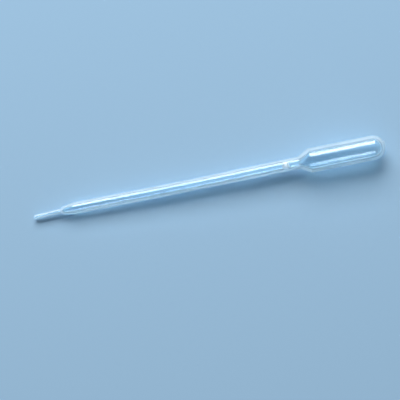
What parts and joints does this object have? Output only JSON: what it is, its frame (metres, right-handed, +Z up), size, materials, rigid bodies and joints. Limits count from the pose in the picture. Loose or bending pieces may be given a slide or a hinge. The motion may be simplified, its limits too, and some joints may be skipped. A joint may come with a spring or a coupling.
{
  "type": "plastic dropper pipette",
  "caption": "Slender translucent squeeze pipette moulded in one piece: fine open tip, long hollow stem and a round-ended bulb that draws up and drops liquid.",
  "frame": {"origin": "on the surface that the pipette lies on, under the middle of its length", "axes": "+X runs from the tip towards the bulb, +Y is across the pipette in its mould parting plane, +Z is up; the pipette's own axis climbs by about 1.6 degrees from tip to bulb, because the bulb is thicker than the stem"},
  "size_m": [0.15, 0.0104, 0.0109],
  "materials": {
    "milky_polyethylene": "gloss"
  },
  "bodies": {
    "root": {"pipette": "milky_polyethylene"}
  },
  "joints": []
}
